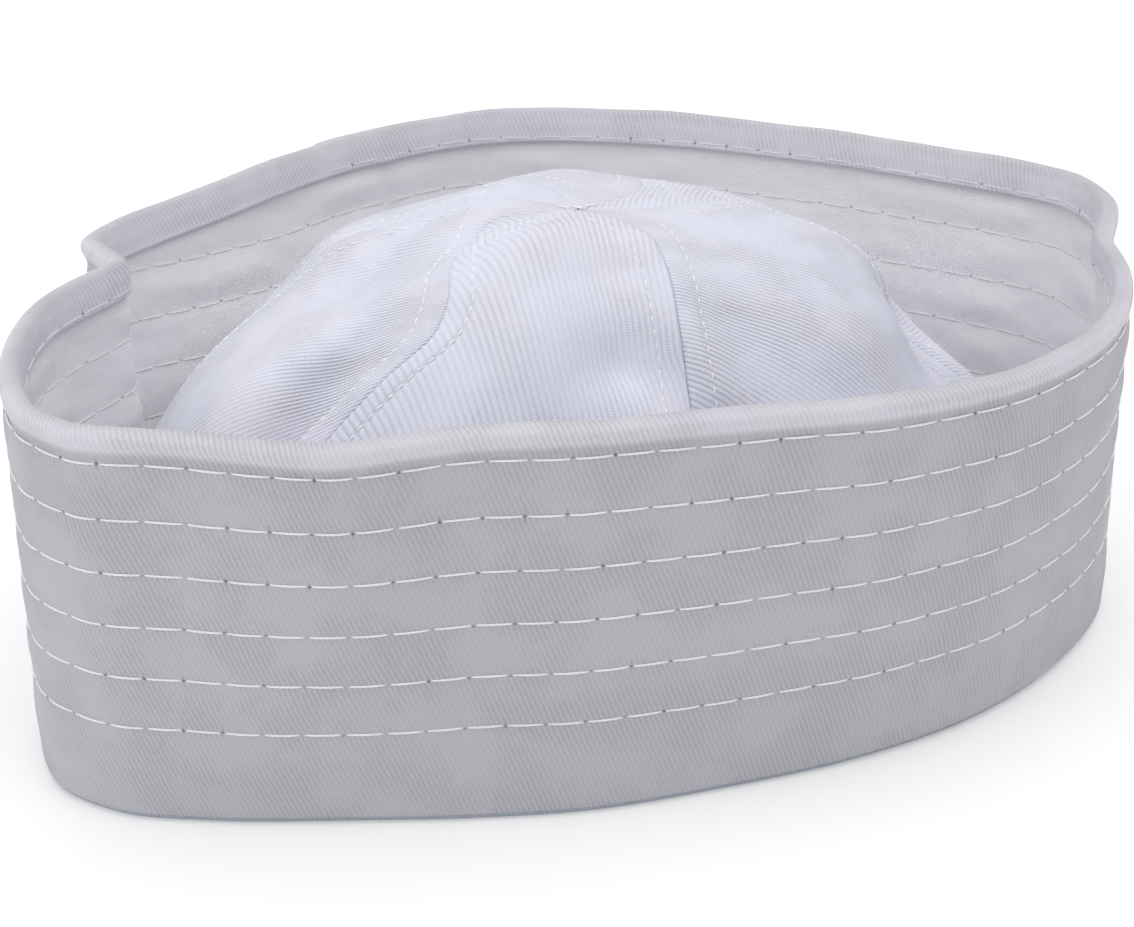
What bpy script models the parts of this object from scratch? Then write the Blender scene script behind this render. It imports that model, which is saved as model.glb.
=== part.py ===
"""Sailor cap of white cotton: a six-gore crown inside a standing brim, with a lining and a sweatband.

Metres, +Z up, +X along the cap. The cap stands on its sweatband's lower edge, and its brim is turned up.
Every piece follows one outline: the brim's outer face at its foot and at its rim. A piece is placed by its
depth inward from that face and its height up the slanted wall.
"""

from collections import namedtuple

import bmesh
import bpy
import numpy as np

# Driving sizes
FOOT_LENGTH = 0.224
FOOT_WIDTH = 0.157
BRIM_HEIGHT = 0.082
BRIM_LEAN = 0.0168
CROWN_HEIGHT = 0.0935
BAND_HEIGHT = 0.028
HEM_DEPTH = 0.0072
SEAM_ALLOWANCE = 0.0070
DENT_DEPTH = 0.0063
FOLD_HEIGHT = 0.0030

# Cloth walls and clearances
TWILL = 0.0012
LINING = 0.0010
BAND = 0.0010
PRESSED_SEAM = 0.0008
CLEARANCE = 0.0003
LINING_TUCK = 0.0050
TIP_RADIUS = 0.0008

# Where the apex stands, as shares of half the foot's length and width
APEX_ALONG = -0.05
APEX_ACROSS = -0.07

# How far up the crown, as a share of its height, the foot's creases reach, and how often they are averaged
CREASE_FADE = 0.3
FADE_PASSES = 12

# Shares of the climb to the apex where the crown's folds begin, and where they have their full height
FOLDS_FROM = 0.20
FOLDS_FULL = 0.35

# Mesh steps: points to a span of the outline, rows up the wall, the band, the dome and round the roll
SPAN_STEPS = 4
WALL_STEPS = 3
BAND_STEPS = 3
DOME_STEPS = 7
ROLL_STEPS = 5

# One row per section of the brim, counterclockwise from the left end. The foot is in shares of half the
# foot's length and width, the rim's offset from it in shares of BRIM_LEAN. A crease of 1 is a sharp fold.
Section = namedtuple("Section", "place along across lean_along lean_across foot_crease rim_crease")
OUTLINE = (
    Section("left lobe", -1.00, -0.59, 0.00, 0.42, 0.0, 0.0),
    Section("front left corner", -0.93, -0.88, 0.06, 0.02, 0.2, 0.3),
    Section("front left", -0.82, -0.97, -0.12, 0.00, 0.0, 0.2),
    Section("front left flat", -0.67, -1.00, 0.00, -0.03, 0.0, 0.0),
    Section("front bulge", -0.43, -1.00, 0.00, -0.32, 0.0, 0.2),
    Section("front dip", -0.22, -0.99, 0.00, 0.02, 0.0, 0.0),
    Section("front middle", -0.03, -0.96, 0.00, 0.02, 0.0, 0.0),
    Section("front right of middle", 0.20, -0.87, 0.02, -0.11, 0.0, 0.0),
    Section("front right", 0.45, -0.74, 0.10, -0.35, 0.0, 0.0),
    Section("front right turn", 0.67, -0.56, 0.22, -0.38, 0.0, 0.0),
    Section("right front", 0.85, -0.31, 0.12, -0.26, 0.0, 0.0),
    Section("right lobe", 0.96, -0.04, -0.22, -0.12, 0.0, 0.0),
    Section("right crease", 0.98, 0.19, -0.36, -0.20, 0.1, 0.9),
    Section("right end", 0.94, 0.37, 0.22, 0.10, 0.0, 0.1),
    Section("back right corner", 0.82, 0.53, 0.75, 0.52, 0.0, 0.2),
    Section("back right", 0.60, 0.71, 0.70, 0.62, 0.0, 0.0),
    Section("back right of middle", 0.33, 0.87, 0.58, 0.75, 0.0, 0.0),
    Section("back", 0.04, 0.98, 0.35, 0.86, 0.0, 0.0),
    Section("back left of middle", -0.22, 0.97, -0.10, 0.98, 0.0, 0.0),
    Section("back left", -0.46, 0.76, -0.52, 0.86, 0.0, 0.0),
    Section("back left turn", -0.67, 0.41, -0.68, 0.72, 0.0, 0.0),
    Section("fold outer corner", -0.87, 0.08, -0.60, 0.20, 0.2, 0.5),
    Section("fold tip", -0.865, -0.10, -0.16, 0.36, 0.5, 0.9),
    Section("left back", -0.96, -0.35, -0.16, 0.42, 0.0, 0.0),
)

# One row per crown section, in turns along OUTLINE from its first row. Fullness 2 is an elliptic dome,
# more is boxier and less is slumped.
Profile = namedtuple("Profile", "turn fullness")
CROWN_PROFILES = (
    Profile(0.000, 1.95),
    Profile(0.083, 2.05),
    Profile(0.167, 2.1),
    Profile(0.250, 2.05),
    Profile(0.333, 2.1),
    Profile(0.417, 2.15),
    Profile(0.500, 2.15),
    Profile(0.583, 2.1),
    Profile(0.667, 2.3),
    Profile(0.750, 2.3),
    Profile(0.833, 2.4),
    Profile(0.917, 2.3),
)

# The crown's six seams, as the row of OUTLINE that each meets at the foot
SEAM_SECTIONS = (3, 7, 12, 16, 19, 23)

# One row per dent or bulge of the crown: turns along OUTLINE, height share, spreads and depth share
Dent = namedtuple("Dent", "turn height turn_spread height_spread depth")
CROWN_DENTS = (
    Dent(0.48, 0.60, 0.09, 0.30, 3.6),
    Dent(0.40, 0.85, 0.05, 0.12, -0.8),
    Dent(0.05, 0.50, 0.03, 0.14, 1.0),
    Dent(0.24, 0.70, 0.03, 0.18, 0.5),
)

# One row per fold of the slumped crown. In the dome's flat map the apex is the middle, the foot is the circle
# of 1, and the radius is the share of the climb that is left. A fold is a straight line there from one climb
# and section to another, with its width in that map and its height as a share of FOLD_HEIGHT.
Fold = namedtuple("Fold", "name climb section climb_to section_to width height")
CROWN_FOLDS = (
    Fold("lobe at the lower left", 0.50, 23.5, 0.55, 1.3, 0.13, 1.0),
    Fold("hollow beside the lobe", 0.60, 2.5, 0.40, 3.1, 0.065, -1.1),
    Fold("hollow above the lobe", 0.72, 0.0, 0.72, 1.9, 0.11, -0.7),
    Fold("shoulder at the back left", 0.66, 21.0, 0.68, 21.6, 0.08, 1.0),
    Fold("hump behind the apex", 0.83, 18.4, 0.85, 19.4, 0.09, 0.4),
    Fold("ridge under the first seam", 0.78, 3.6, 0.90, 4.5, 0.040, 0.22),
    Fold("ridge before the apex", 0.90, 4.5, 0.93, 8.0, 0.040, 0.20),
    Fold("valley down the front", 0.79, 6.4, 0.62, 6.5, 0.055, -0.7),
    Fold("foot of the valley", 0.62, 6.5, 0.48, 7.4, 0.060, -0.7),
    Fold("ridge along the second seam", 0.86, 7.8, 0.55, 7.4, 0.035, 0.45),
    Fold("dip beside the second seam", 0.66, 8.1, 0.52, 7.9, 0.045, -0.4),
    Fold("waist above the right skirt", 0.47, 11.8, 0.43, 13.4, 0.10, -1.9),
)


def closed_curve(points, crease):
    """Closed curve through the sections, SPAN_STEPS points to a span.

    Each span is a cubic Hermite curve. A section's slope is the mean of the two chords beside it, each
    weighted by the other's length, and a crease cuts the slope down so that the corner stays sharp.
    """
    after = np.roll(points, -1, axis=0)
    before = np.roll(points, 1, axis=0)
    chord = np.linalg.norm(after - points, axis=1)[:, None]
    chord_before = np.roll(chord, 1, axis=0)
    slope = (after - points) / chord * chord_before + (points - before) / chord_before * chord
    slope = slope / (chord + chord_before) * (1 - crease)[:, None]
    t = (np.arange(SPAN_STEPS) / SPAN_STEPS)[:, None, None]
    start = 2 * t**3 - 3 * t**2 + 1
    leave = t**3 - 2 * t**2 + t
    arrive = t**3 - t**2
    spans = start * points + leave * chord * slope + (1 - start) * after
    spans = spans + arrive * chord * np.roll(slope, -1, axis=0)
    return spans.transpose(1, 0, 2).reshape(-1, 2)


def evened(values, times, axis=0):
    """Values round the ring after some passes of averaging each with its two neighbours."""
    for _ in range(times):
        values = (np.roll(values, 1, axis=axis) + 2 * values + np.roll(values, -1, axis=axis)) / 4
    return values


def outward(curve):
    """Horizontal outward directions of a counterclockwise curve, evened out over neighbouring points."""
    along = np.roll(curve, -1, axis=0) - np.roll(curve, 1, axis=0)
    normal = np.stack([along[:, 1], -along[:, 0]], axis=1)
    normal = evened(normal / np.linalg.norm(normal, axis=1)[:, None], 3)
    return normal / np.linalg.norm(normal, axis=1)[:, None]


ROWS = np.array([row[1:] for row in OUTLINE])
FOOT_POINTS = ROWS[:, 0:2] * (FOOT_LENGTH / 2, FOOT_WIDTH / 2)
FOOT = closed_curve(FOOT_POINTS, ROWS[:, 4])
RIM = closed_curve(FOOT_POINTS + ROWS[:, 2:4] * BRIM_LEAN, ROWS[:, 5])
FOOT_OUT = outward(FOOT)
RIM_OUT = outward(RIM)
LEAN = np.linalg.norm(RIM - FOOT, axis=1)
RING = len(FOOT)

# Depths of the layers, inward from the brim's outer face
LINING_OUTER = TWILL + CLEARANCE
LINING_INNER = LINING_OUTER + LINING
HEM_OUTER = LINING_INNER + CLEARANCE
HEM_INNER = HEM_OUTER + TWILL
CROWN_OUTER = HEM_OUTER + CLEARANCE

# Depth of the band below the crown's outer face, clear of the pressed seams
BAND_DEPTH = TWILL + PRESSED_SEAM + CLEARANCE

# Heights of the edges near the floor, and of the rows that the brim's layers share
BRIM_FOOT = BAND + CLEARANCE
LINING_FOOT = BRIM_FOOT + TWILL + CLEARANCE
WALL_ROWS = np.arange(1, WALL_STEPS) / WALL_STEPS * BRIM_HEIGHT


def wall_ring(depth, height):
    """Ring of points at a depth inward from the brim's outer face and a height up its slanted wall."""
    share = height / BRIM_HEIGHT
    middle = FOOT + (RIM - FOOT) * share
    direction = FOOT_OUT * (1 - share) + RIM_OUT * share
    rise = height * np.sqrt(1 - (LEAN / BRIM_HEIGHT) ** 2)
    return np.column_stack([middle - direction * depth, rise])


def ring_solid(name, rings, colour, roughness):
    """Closed tube round the cap whose section is a closed list of rings.

    Every quad is split from its lower ring to the next point of its upper ring, so that layers that lie
    on each other keep their gap.
    """
    count = len(rings)
    faces = []
    for row in range(count):
        next_row = (row + 1) % count
        climbs = rings[next_row][:, 2].mean() >= rings[row][:, 2].mean()
        for column in range(RING):
            next_column = (column + 1) % RING
            a = row * RING + column
            b = row * RING + next_column
            c = next_row * RING + next_column
            d = next_row * RING + column
            faces += [(a, b, c), (a, c, d)] if climbs else [(a, b, d), (b, c, d)]
    return add_mesh(name, np.concatenate(rings), faces, colour, roughness)


def add_mesh(name, points, faces, colour, roughness):
    """Object of its own with its own cloth material and its faces turned outward."""
    mesh = bpy.data.meshes.new(name)
    mesh.from_pydata(points.tolist(), [], faces)
    shape = bmesh.new()
    shape.from_mesh(mesh)
    bmesh.ops.recalc_face_normals(shape, faces=shape.faces)
    shape.to_mesh(mesh)
    shape.free()
    mesh.shade_smooth()
    mesh.set_sharp_from_angle(angle=np.radians(50))
    part = bpy.data.objects.new(name, mesh)
    bpy.context.collection.objects.link(part)
    material = bpy.data.materials.new(name)
    material.use_nodes = True
    shader = material.node_tree.nodes["Principled BSDF"]
    shader.inputs["Base Color"].default_value = (*colour, 1)
    shader.inputs["Roughness"].default_value = roughness
    shader.inputs["Metallic"].default_value = 0
    mesh.materials.append(material)
    return part


def make_brim_shell():
    """Outer twill: turned under at the foot, up the wall, over the rolled rim and down inside as a hem."""
    roll = HEM_INNER / 2
    roll_centre = BRIM_HEIGHT - roll
    slot = roll - TWILL
    hem_edge = BRIM_HEIGHT - HEM_DEPTH
    turn = np.linspace(0, np.pi, ROLL_STEPS)
    rings = [wall_ring(HEM_OUTER, BRIM_FOOT), wall_ring(TWILL / 2, BRIM_FOOT)]
    rings += [wall_ring(0, height) for height in (BRIM_FOOT + TWILL / 2, *WALL_ROWS)]
    rings += [wall_ring(roll - roll * np.cos(a), roll_centre + roll * np.sin(a)) for a in turn]
    rings += [wall_ring(HEM_INNER, hem_edge), wall_ring(HEM_OUTER, hem_edge)]
    rings += [wall_ring(roll + slot * np.cos(a), roll_centre + slot * np.sin(a)) for a in turn[::2]]
    rings += [wall_ring(TWILL, height) for height in WALL_ROWS[::-1]]
    rings += [wall_ring(TWILL, BRIM_FOOT + TWILL), wall_ring(HEM_OUTER, BRIM_FOOT + TWILL)]
    return ring_solid("brim_shell", rings, (0.68, 0.67, 0.71), 0.9)


def make_brim_lining():
    """Plain lining against the shell's inside, its upper edge tucked behind the hem."""
    heights = np.concatenate([[LINING_FOOT], WALL_ROWS, [BRIM_HEIGHT - LINING_TUCK]])
    rings = [wall_ring(LINING_OUTER, height) for height in heights]
    rings += [wall_ring(LINING_INNER, height) for height in heights[::-1]]
    return ring_solid("brim_lining", rings, (0.82, 0.80, 0.81), 0.8)


def make_sweatband(sheet, normals):
    """Inside band up the crown's foot, its lower edge turned outward under the crown and the brim."""
    outer = sheet - normals * BAND_DEPTH
    inner = outer - normals * BAND
    turned_edge = wall_ring(TWILL, 0)
    corner = outer[0] * (1, 1, 0) + (0, 0, BAND)
    rings = [turned_edge, turned_edge + (0, 0, BAND), corner]
    rings += [outer[row] for row in range(1, BAND_STEPS + 1)]
    rings += [inner[row] for row in range(BAND_STEPS, 0, -1)]
    rings.append(inner[0] * (1, 1, 0))
    return ring_solid("sweatband", rings, (0.52, 0.57, 0.65), 0.8)


def crown_fullness():
    """Fullness of the dome at each ring point, eased by a cosine from one row of the table to the next."""
    rows = np.array(CROWN_PROFILES)
    turns = np.append(rows[:, 0], 1)
    values = np.append(rows[:, 1], rows[0, 1])
    place = np.arange(RING) / RING
    span = np.clip(np.searchsorted(turns, place, side="right") - 1, 0, len(rows) - 1)
    t = (place - turns[span]) / (turns[span + 1] - turns[span])
    ease = (1 - np.cos(np.pi * t)) / 2
    return values[span] + (values[span + 1] - values[span]) * ease


def flat_place(climb, section):
    """Place in the dome's flat map as a complex number: the climb that is left, turned about the apex."""
    return (1 - climb) * np.exp(2j * np.pi * section / len(OUTLINE))


def folds_at(climb, section):
    """Height of the folds: each falls off by a bell curve of the distance to its line in the flat map."""
    spot = flat_place(climb, section)
    height = np.zeros(spot.shape)
    for fold in CROWN_FOLDS:
        start = flat_place(fold.climb, fold.section)
        run = flat_place(fold.climb_to, fold.section_to) - start
        share = np.clip(((spot - start) * np.conj(run)).real / abs(run) ** 2, 0, 1)
        away = np.abs(spot - start - share * run) / fold.width
        height += fold.height * FOLD_HEIGHT * np.exp(-(away**2))
    return height * np.clip((climb - FOLDS_FROM) / (FOLDS_FULL - FOLDS_FROM), 0, 1)


def crown_sheet():
    """Outer face of the whole crown, rows from the foot to the apex by ring points.

    Each ring point has its own superellipse from the foot to the apex. The first rows climb by equal
    heights up the sweatband, the others by equal angles to the tip. The foot's creases fade out on the
    way up, the dents push the face towards the apex's axis, and the folds lift it along its normals.
    """
    apex = np.array([APEX_ALONG * FOOT_LENGTH / 2, APEX_ACROSS * FOOT_WIDTH / 2])
    foot = FOOT - FOOT_OUT * CROWN_OUTER
    power = 2 / crown_fullness()
    reach = np.linalg.norm(foot - apex, axis=1)
    low = np.linspace(0, (BAND_HEIGHT - BRIM_FOOT) / (CROWN_HEIGHT - BRIM_FOOT), BAND_STEPS + 1)[:, None]
    low_angle = np.arcsin(low ** (1 / power))
    last = np.arccos((TIP_RADIUS / reach) ** (1 / power))
    dome = np.arange(1, DOME_STEPS + 1)[:, None] / DOME_STEPS
    angle = np.concatenate([low_angle, low_angle[-1] + (last - low_angle[-1]) * dome])
    inward = np.cos(angle) ** power
    rise = np.sin(angle) ** power
    turn = np.arange(RING) / RING
    push = np.zeros_like(inward)
    for dent in CROWN_DENTS:
        around = (turn - dent.turn + 0.5) % 1 - 0.5
        shape = np.exp(-(around / dent.turn_spread) ** 2 - ((rise - dent.height) / dent.height_spread) ** 2)
        push += dent.depth * DENT_DEPTH * shape
    inward = inward * (1 - push / reach)
    fade = np.minimum(rise / CREASE_FADE, 1)[..., None]
    soft_foot = foot + (evened(foot, FADE_PASSES) - foot) * fade
    plan = apex + (soft_foot - apex) * inward[..., None]
    height = BRIM_FOOT + (CROWN_HEIGHT - BRIM_FOOT) * rise
    sheet = np.concatenate([plan, height[..., None]], axis=2)
    lift = folds_at(angle / last, turn * len(OUTLINE))
    return sheet + sheet_normals(sheet) * lift[..., None]


def sheet_normals(sheet):
    """Outward directions of the crown's face, from the differences between its neighbouring points.

    The foot's are level, so that the cloth is cut square there.
    """
    around = np.roll(sheet, -1, axis=1) - np.roll(sheet, 1, axis=1)
    upward = np.gradient(sheet, axis=0)
    normal = np.cross(around, upward)
    normal = evened(normal / np.linalg.norm(normal, axis=2)[..., None], 1, axis=1)
    normal[0, :, 2] = 0
    return normal / np.linalg.norm(normal, axis=2)[..., None]


def between_columns(rows, place):
    """Values of the rows at fractional column places, one list of places to a row."""
    first = np.clip(np.floor(place).astype(int), 0, rows.shape[1] - 2)
    share = (place - first)[..., None]
    row = np.arange(len(rows))[:, None]
    return rows[row, first] * (1 - share) + rows[row, first + 1] * share


def make_gore(number, first, last, sheet, normals):
    """One gore between two seams, thicker inside along them where its seam allowance is pressed open."""
    columns = np.arange(first, last + 1) % RING
    outer = sheet[:, columns]
    spans = len(columns) - 1
    width = np.linalg.norm(np.diff(outer, axis=1), axis=2).sum(axis=1)[:, None]
    edge_gap = CLEARANCE / 2 / width
    place = (edge_gap + (1 - 2 * edge_gap) * np.arange(spans + 1) / spans) * spans
    outer = between_columns(outer, place)
    normal = between_columns(normals[:, columns], place)
    from_first = np.linalg.norm(outer - outer[:, :1], axis=2)
    from_last = np.linalg.norm(outer - outer[:, -1:], axis=2)
    pressed = np.minimum(from_first, from_last) < SEAM_ALLOWANCE
    inner = outer - normal * (TWILL + PRESSED_SEAM * pressed)[..., None]
    rows, count = outer.shape[:2]
    half = rows * count
    faces = []
    for row in range(rows - 1):
        for column in range(spans):
            a = row * count + column
            b, c, d = a + 1, a + count + 1, a + count
            faces += [(a, b, c), (a, c, d), (half + a, half + c, half + b), (half + a, half + d, half + c)]
    edge = list(range(count))
    edge += [row * count + spans for row in range(1, rows)]
    edge += [(rows - 1) * count + column for column in range(spans - 1, -1, -1)]
    edge += [row * count for row in range(rows - 2, 0, -1)]
    for a, b in zip(edge, edge[1:] + edge[:1]):
        faces.append((a, half + a, half + b, b))
    points = np.concatenate([outer.reshape(-1, 3), inner.reshape(-1, 3)])
    return add_mesh(f"crown_gore_{number}", points, faces, (0.75, 0.76, 0.83), 0.85)


def make_crown(sheet, normals):
    """Six gores side by side round the apex."""
    seams = [section * SPAN_STEPS for section in SEAM_SECTIONS]
    gores = []
    for number, (first, last) in enumerate(zip(seams, seams[1:] + [seams[0] + RING]), start=1):
        gores.append(make_gore(number, first, last, sheet, normals))
    return gores


def centre_on_origin(parts):
    """Moves every mesh so that the cap's bounding box stands centred on the origin, on the floor."""
    points = np.array([vertex.co for part in parts for vertex in part.data.vertices])
    low = points.min(axis=0)
    high = points.max(axis=0)
    shift = np.array([-(low[0] + high[0]) / 2, -(low[1] + high[1]) / 2, -low[2]])
    for part in parts:
        for vertex in part.data.vertices:
            vertex.co = vertex.co + type(vertex.co)(shift)


for old in list(bpy.data.objects):
    bpy.data.objects.remove(old)

crown_face = crown_sheet()
crown_normals = sheet_normals(crown_face)
cap = make_crown(crown_face, crown_normals)
cap.append(make_brim_shell())
cap.append(make_brim_lining())
cap.append(make_sweatband(crown_face, crown_normals))
centre_on_origin(cap)
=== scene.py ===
"""Sailor cap of white cotton twill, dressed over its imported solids.

The pieces are put together as the cap is: the brim's outer twill, its lining, the thread that quilts them,
the crown's six gores with their topstitching, and the inside band. Then come the floor, light and camera.
Metres, +Z up, +X along the cap, the camera on the side of -Y.
"""

from collections import namedtuple

import bpy
import numpy as np
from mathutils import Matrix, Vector


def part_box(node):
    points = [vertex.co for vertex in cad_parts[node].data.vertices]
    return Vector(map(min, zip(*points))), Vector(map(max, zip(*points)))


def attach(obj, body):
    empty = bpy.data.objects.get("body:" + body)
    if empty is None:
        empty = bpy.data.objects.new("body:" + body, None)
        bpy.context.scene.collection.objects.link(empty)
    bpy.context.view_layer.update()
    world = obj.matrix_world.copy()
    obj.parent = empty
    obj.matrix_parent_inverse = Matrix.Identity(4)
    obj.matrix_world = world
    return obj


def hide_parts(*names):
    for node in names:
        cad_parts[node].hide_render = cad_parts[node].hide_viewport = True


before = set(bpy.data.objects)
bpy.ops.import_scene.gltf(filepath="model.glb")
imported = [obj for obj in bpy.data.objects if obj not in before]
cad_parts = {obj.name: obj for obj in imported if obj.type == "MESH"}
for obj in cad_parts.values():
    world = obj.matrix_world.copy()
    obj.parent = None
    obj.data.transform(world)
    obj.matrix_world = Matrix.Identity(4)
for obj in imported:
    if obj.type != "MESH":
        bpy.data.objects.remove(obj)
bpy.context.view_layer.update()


# Brim, outer cloth. One strip of heavy cotton twill stands round the crown, its foot turned under. It rolls
# over a soft edge at the rim and is turned in as a hem. Six lines of stitching quilt it to the lining, so it
# swells a little between them, and each needle hole pulls it in.

FOOT_LENGTH = 0.224
FOOT_WIDTH = 0.157
BRIM_HEIGHT = 0.082
BRIM_LEAN = 0.0168
TWILL = 0.0012
SPAN_STEPS = 32

# One row per section of the brim, counterclockwise from the left end, as in the solids. The foot is in shares
# of half the foot's length and width, the rim's offset from it in shares of BRIM_LEAN.
Section = namedtuple("Section", "place along across lean_along lean_across foot_crease rim_crease")
OUTLINE = (
    Section("left lobe", -1.00, -0.59, 0.00, 0.42, 0.0, 0.0),
    Section("front left corner", -0.93, -0.88, 0.06, 0.02, 0.2, 0.3),
    Section("front left", -0.82, -0.97, -0.12, 0.00, 0.0, 0.2),
    Section("front left flat", -0.67, -1.00, 0.00, -0.03, 0.0, 0.0),
    Section("front bulge", -0.43, -1.00, 0.00, -0.32, 0.0, 0.2),
    Section("front dip", -0.22, -0.99, 0.00, 0.02, 0.0, 0.0),
    Section("front middle", -0.03, -0.96, 0.00, 0.02, 0.0, 0.0),
    Section("front right of middle", 0.20, -0.87, 0.02, -0.11, 0.0, 0.0),
    Section("front right", 0.45, -0.74, 0.10, -0.35, 0.0, 0.0),
    Section("front right turn", 0.67, -0.56, 0.22, -0.38, 0.0, 0.0),
    Section("right front", 0.85, -0.31, 0.12, -0.26, 0.0, 0.0),
    Section("right lobe", 0.96, -0.04, -0.22, -0.12, 0.0, 0.0),
    Section("right crease", 0.98, 0.19, -0.36, -0.20, 0.1, 0.9),
    Section("right end", 0.94, 0.37, 0.22, 0.10, 0.0, 0.1),
    Section("back right corner", 0.82, 0.53, 0.75, 0.52, 0.0, 0.2),
    Section("back right", 0.60, 0.71, 0.70, 0.62, 0.0, 0.0),
    Section("back right of middle", 0.33, 0.87, 0.58, 0.75, 0.0, 0.0),
    Section("back", 0.04, 0.98, 0.35, 0.86, 0.0, 0.0),
    Section("back left of middle", -0.22, 0.97, -0.10, 0.98, 0.0, 0.0),
    Section("back left", -0.46, 0.76, -0.52, 0.86, 0.0, 0.0),
    Section("back left turn", -0.67, 0.41, -0.68, 0.72, 0.0, 0.0),
    Section("fold outer corner", -0.87, 0.08, -0.60, 0.20, 0.2, 0.5),
    Section("fold tip", -0.865, -0.10, -0.16, 0.36, 0.5, 0.9),
    Section("left back", -0.96, -0.35, -0.16, 0.42, 0.0, 0.0),
)

# Stitch lines: the first one's height, the drop from one to the next, and the length of one stitch
TOP_LINE = 0.07585
LINE_DROP = 0.01095
STITCH = 0.0074
LINES = 6

# The six lines are one spiral, which starts at the back left and drops by one line between these sections
SPIRAL_START = 19.2
SPIRAL_DROP_FROM = 22.0
SPIRAL_TURNS = LINES - (SPIRAL_DROP_FROM - SPIRAL_START) / len(OUTLINE)

# Relief of the outer face, LAST_PUFF and PULL_SPREAD being in line drops
PUFF = 0.00032
PUFF_WAVES = 0.00011
LAST_PUFF = 1.75
PULL = 0.0001
PULL_SPREAD = 0.06
ROLL_WAVE = 0.00012

# Joint of the strip's ends: its section and width in sections, its groove, and its step inside
BRIM_SEAM = 18.75
SEAM_WIDTH = 0.06
SEAM_GROOVE = 0.00025
SEAM_STEP = 0.0004
INSIDE_DEPTH = 0.0019

# Sines of the length sewn so far: share, length for one radian, and shift
Wave = namedtuple("Wave", "share length shift")
QUILT_WAVES = (Wave(1.0, 0.0071, 0.0), Wave(0.8, 0.0043, 1.3), Wave(0.6, 0.0112, 0.4))
ROLL_WAVES = (Wave(1.0, 0.0059, 0.0), Wave(0.7, 0.0134, 2.0), Wave(0.5, 0.0031, 0.8))

# Points of the section: on the outer face, and between two rows of each table
OUTER_STEPS = 60
INSIDE_STEPS = 2
ROLL_STEPS = 3

# Section through the cloth, in millimetres: depth inward from the outer face, and height. It runs from the
# first stitch line over the roll to the hem's edge, back up inside the roll, and down the inner face.
Turn = namedtuple("Turn", "depth height")
ROLL = (
    Turn(0.30, 75.85), Turn(0.42, 76.9), Turn(0.12, 78.1), Turn(-0.28, 79.3),
    Turn(-0.02, 80.7), Turn(0.95, 81.65), Turn(2.10, 82.0), Turn(3.25, 81.6),
    Turn(3.92, 80.5), Turn(4.12, 79.0), Turn(4.08, 77.3), Turn(3.98, 75.85),
    Turn(4.04, 75.3), Turn(3.88, 74.75), Turn(3.35, 74.60), Turn(2.92, 75.2),
)
INSIDE = (
    Turn(2.90, 78.8), Turn(2.05, 79.9), Turn(1.25, 78.8), Turn(1.20, 72.0),
    Turn(1.20, 50.0), Turn(1.20, 26.0), Turn(1.20, 2.5), Turn(2.80, 2.5),
    Turn(2.80, 1.3), Turn(0.75, 1.3), Turn(0.22, 1.5), Turn(0.02, 2.1),
)

# The brim's twill colour and tint are the crown's twill painted darker: painted shade for the brim, whose
# front stands in shade
SHADED_BRIM_TWILL_COLOUR = (0.515, 0.504, 0.541)
SHADED_BRIM_TWILL_TINT = (0.507, 0.502, 0.549)
TWILL_ROUGHNESS = 0.85
BRIM_SHEEN = 0.12
RIB = 0.00095
RIB_LEAN = 20.0
RIB_BEND = 0.0006
YARN = 0.00048
YARN_SLANT = 0.6
YARN_HEIGHT = 0.22
TWILL_BUMP = 0.7
TWILL_RELIEF = 0.00022

# Ranges in which a needle's hole and the pucker at it fade out
HOLE_RADIUS = (0.00012, 0.00042)
TICK_ASIDE = (0.00006, 0.00024)
TICK_ABOVE = (0.0004, 0.0018)
BRIM_TICKS = 0.34

# Painted light on the roll, the rim and the hem, each band eased in between two lengths of cloth above the
# first line: the roll's face painted lighter, the rim's top taken back darker, and the hem inside painted
# lighter still
PaintedBand = namedtuple("PaintedBand", "start end factor")
BRIM_PAINTED_LIGHT = (PaintedBand(0.0012, 0.0032, 1.34), PaintedBand(0.0050, 0.0080, 0.80), PaintedBand(0.0088, 0.0115, 1.34))


def evened(values, spread):
    """Values round the ring, blurred by a bell curve of a spread in points, through their Fourier terms."""
    count = len(values)
    bell = np.exp(-2 * (np.pi * np.fft.rfftfreq(count) * spread) ** 2)
    return np.fft.irfft(np.fft.rfft(values, axis=0) * bell[:, None], count, axis=0)


def closed_curve(points, crease):
    """Closed curve through the sections: a cubic Hermite curve to each span.

    A section's slope is the mean of the two chords beside it, each weighted by the other's length, and a
    crease cuts it down.
    """
    after = np.roll(points, -1, axis=0)
    before = np.roll(points, 1, axis=0)
    chord = np.linalg.norm(after - points, axis=1)[:, None]
    chord_before = np.roll(chord, 1, axis=0)
    slope = (after - points) / chord * chord_before + (points - before) / chord_before * chord
    slope = slope / (chord + chord_before) * (1 - crease)[:, None]
    t = (np.arange(SPAN_STEPS) / SPAN_STEPS)[:, None, None]
    start = 2 * t**3 - 3 * t**2 + 1
    spans = start * points + (t**3 - 2 * t**2 + t) * chord * slope + (1 - start) * after
    spans = spans + (t**3 - t**2) * chord * np.roll(slope, -1, axis=0)
    return spans.transpose(1, 0, 2).reshape(-1, 2)


def outward(curve):
    """Horizontal outward directions of a counterclockwise curve, evened over a third of a span."""
    along = np.roll(curve, -1, axis=0) - np.roll(curve, 1, axis=0)
    normal = np.stack([along[:, 1], -along[:, 0]], axis=1)
    normal = evened(normal / np.linalg.norm(normal, axis=1)[:, None], SPAN_STEPS * 0.3)
    return normal / np.linalg.norm(normal, axis=1)[:, None]


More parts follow.
